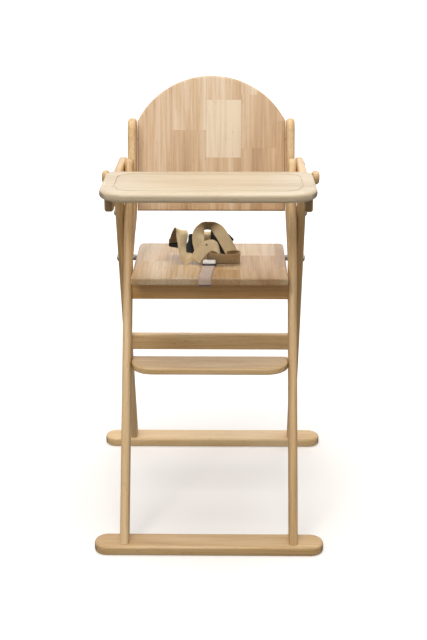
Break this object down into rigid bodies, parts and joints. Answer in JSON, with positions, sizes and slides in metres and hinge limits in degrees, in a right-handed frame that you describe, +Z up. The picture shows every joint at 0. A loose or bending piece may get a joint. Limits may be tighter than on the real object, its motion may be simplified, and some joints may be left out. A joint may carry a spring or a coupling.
{
  "type": "folding wooden baby high chair",
  "caption": "Folding wooden high chair: A-frame legs on floor bars, arched backrest, swing-over tray, footrest and a webbing harness lying on the seat.",
  "frame": {"origin": "on the floor, under the middle of the footprint", "axes": "+X towards the right of someone facing the chair's front, +Y towards the back, +Z up; the child faces -Y"},
  "size_m": [0.52, 0.584, 0.8949],
  "materials": {
    "frame_wood": "satin varnished rubberwood",
    "panel_wood": "satin varnished rubberwood, glued from vertical staves",
    "tray_wood": "satin varnished pale rubberwood",
    "steel_fasteners": "dark zinc-plated steel",
    "bright_steel": "bright plated steel",
    "nylon": "natural nylon",
    "black_plastic": "moulded black acetal",
    "harness_webbing": "khaki polyester webbing, 25 mm",
    "crotch_webbing": "pale pinkish webbing, 27 mm"
  },
  "bodies": {
    "front_frame": {"front_foot_bar": "frame_wood", "seat_rail": "frame_wood", "footrest": "frame_wood", "backrest_panel": "panel_wood", "front_leg_left": "frame_wood", "front_leg_right": "frame_wood", "back_post_left": "frame_wood", "back_post_right": "frame_wood", "arm_peg_left": "frame_wood", "arm_peg_right": "frame_wood", "leg_pivot_bolt_left": "steel_fasteners", "leg_pivot_bolt_right": "steel_fasteners", "leg_pivot_washer_left": "nylon", "leg_pivot_washer_right": "nylon", "arm_pivot_bolt_left": "steel_fasteners", "arm_pivot_bolt_right": "steel_fasteners", "arm_pivot_washer_left": "nylon", "arm_pivot_washer_right": "nylon", "seat_rail_screw_left": "steel_fasteners", "seat_rail_screw_right": "steel_fasteners", "footrest_screw_left": "steel_fasteners", "footrest_screw_right": "steel_fasteners", "back_screw_lower_left": "steel_fasteners", "back_screw_lower_right": "steel_fasteners", "back_screw_upper_left": "steel_fasteners", "back_screw_upper_right": "steel_fasteners", "front_foot_screw_left": "steel_fasteners", "front_foot_screw_right": "steel_fasteners"},
    "rear_frame": {"rear_foot_bar": "frame_wood", "rear_cross_rail": "frame_wood", "rear_leg_left": "frame_wood", "rear_leg_right": "frame_wood", "cross_rail_screw_left": "steel_fasteners", "cross_rail_screw_right": "steel_fasteners", "rear_foot_screw_left": "steel_fasteners", "rear_foot_screw_right": "steel_fasteners", "seat_pivot_bolt_left": "steel_fasteners", "seat_pivot_bolt_right": "steel_fasteners", "seat_pivot_spacer_left": "steel_fasteners", "seat_pivot_spacer_right": "steel_fasteners"},
    "seat": {"seat_panel": "panel_wood", "crotch_strap": "crotch_webbing", "webbing_front_loop": "harness_webbing", "webbing_left_loop": "harness_webbing", "webbing_arch": "harness_webbing", "webbing_right_loop": "harness_webbing", "webbing_back_loop": "harness_webbing", "buckle_socket": "black_plastic", "buckle_prongs": "black_plastic", "strap_slider_left": "black_plastic", "strap_slider_right": "black_plastic", "adjuster_bar": "bright_steel"},
    "tray": {"tray_top": "tray_wood", "tray_arm_left": "frame_wood", "tray_arm_right": "frame_wood", "tray_screw_front_left": "steel_fasteners", "tray_screw_front_right": "steel_fasteners", "tray_screw_back_left": "steel_fasteners", "tray_screw_back_right": "steel_fasteners"}
  },
  "joints": [
    {"name": "rear_frame_fold", "type": "hinge", "parent": "front_frame", "child": "rear_frame", "pos_m": [0, 0.03427, 0.637], "axis": [-1, 0, 0], "range_deg": [0, 33]},
    {"name": "seat_lift", "type": "hinge", "parent": "rear_frame", "child": "seat", "pos_m": [0, 0.07538, 0.525], "axis": [-1, 0, 0], "range_deg": [0, 75]},
    {"name": "tray_swing", "type": "hinge", "parent": "front_frame", "child": "tray", "pos_m": [0, 0.142, 0.714], "axis": [-1, 0, 0], "range_deg": [0, 235]}
  ]
}
